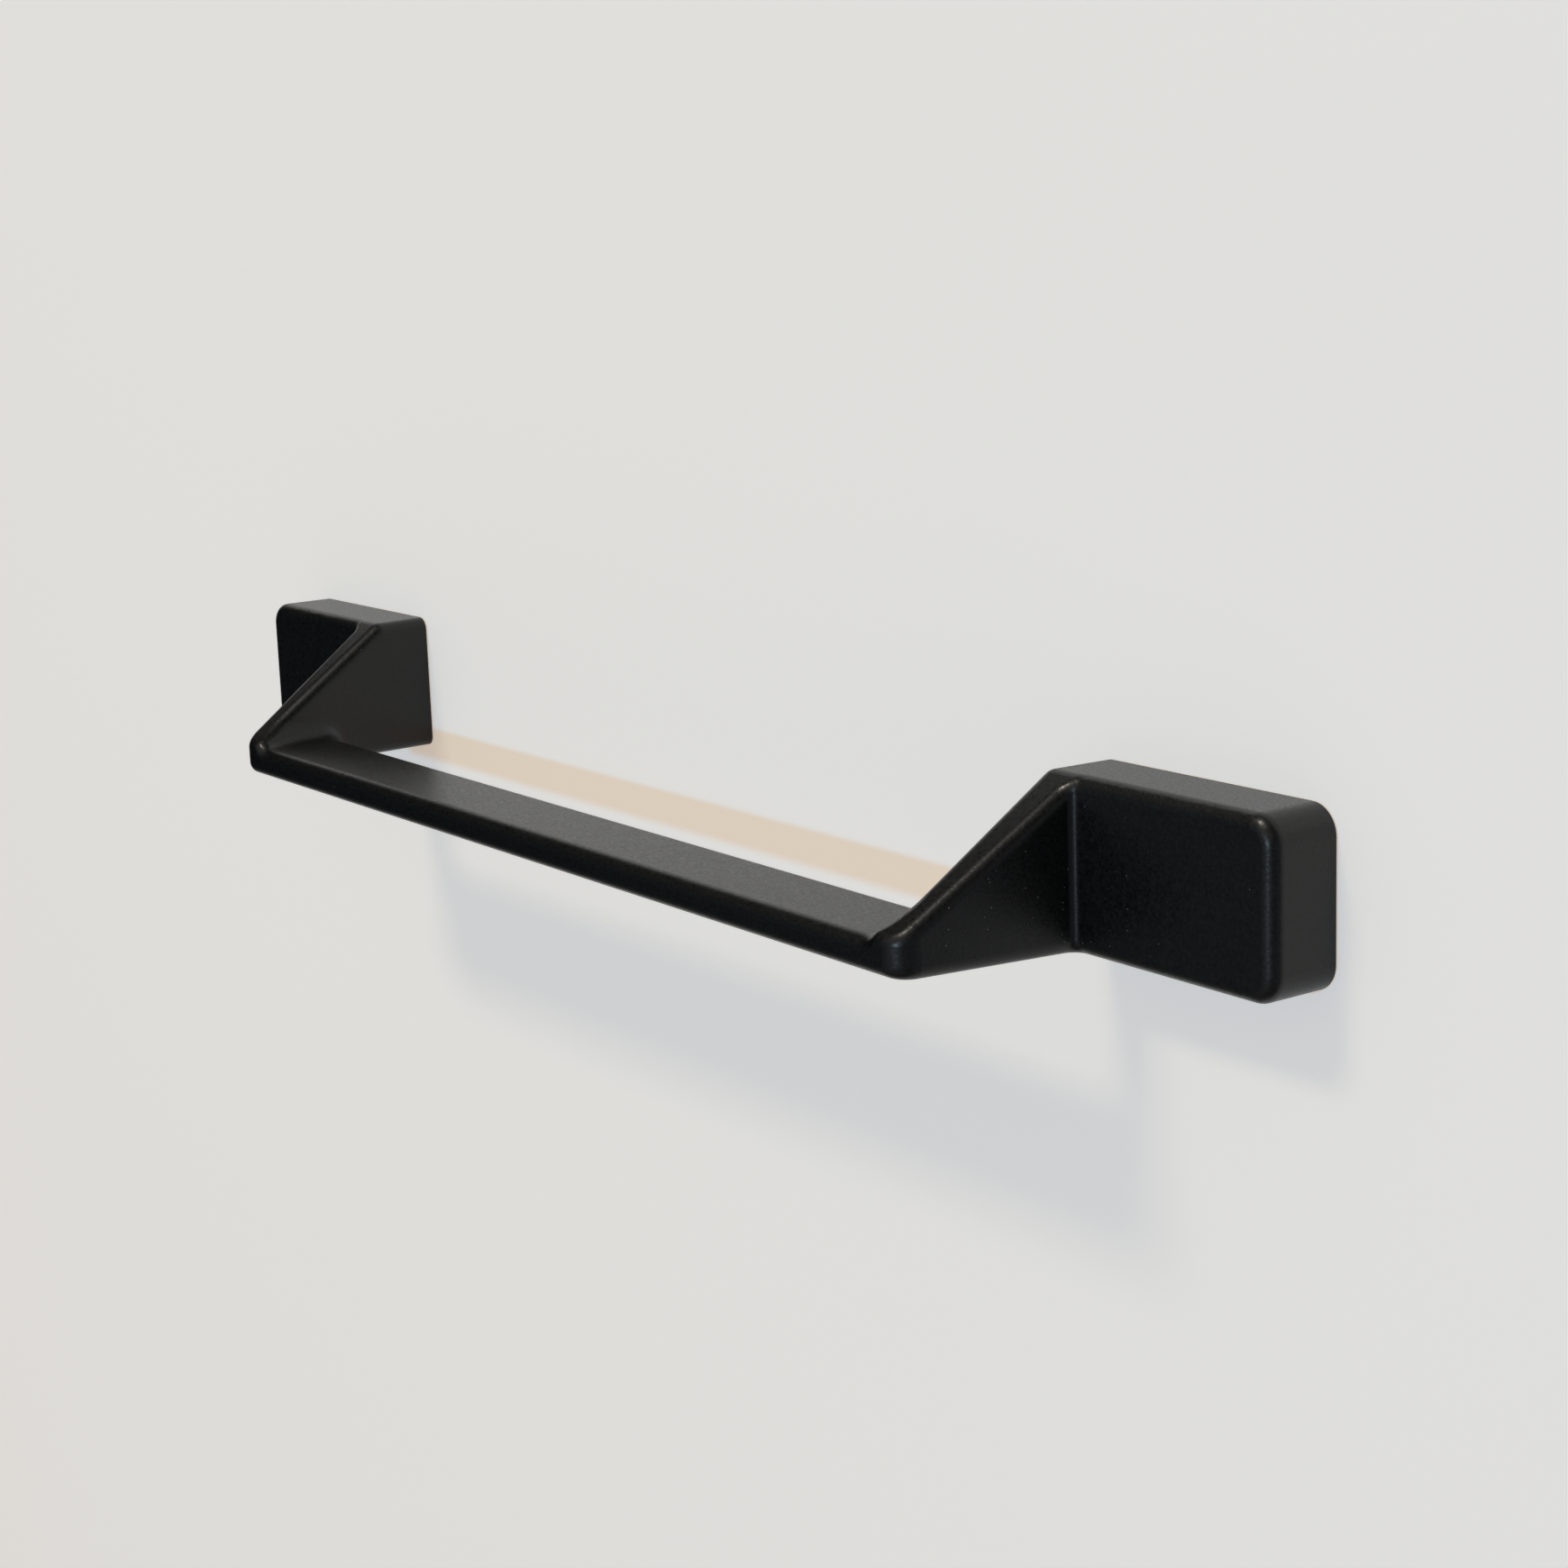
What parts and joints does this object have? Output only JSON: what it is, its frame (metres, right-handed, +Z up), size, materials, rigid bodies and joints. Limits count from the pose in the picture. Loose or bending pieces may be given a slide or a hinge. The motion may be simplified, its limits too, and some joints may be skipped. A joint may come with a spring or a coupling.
{
  "type": "d pull handle",
  "caption": "One-piece D-shaped pull handle: a thin flat bar held off the surface by sloping arms on rectangular screw-fixed feet, in satin black.",
  "frame": {"origin": "midway between the two screw holes, on the plane of the feet's backs, at mid-height", "axes": "+X along the bar, +Y into the surface that the handle is fixed to, +Z up"},
  "size_m": [0.228, 0.0309, 0.02],
  "materials": {
    "black_paint": "satin black paint over a die-cast body",
    "cut_metal": "bare cut zinc alloy in the screw threads"
  },
  "bodies": {
    "root": {"pull_handle": "black_paint"}
  },
  "joints": []
}
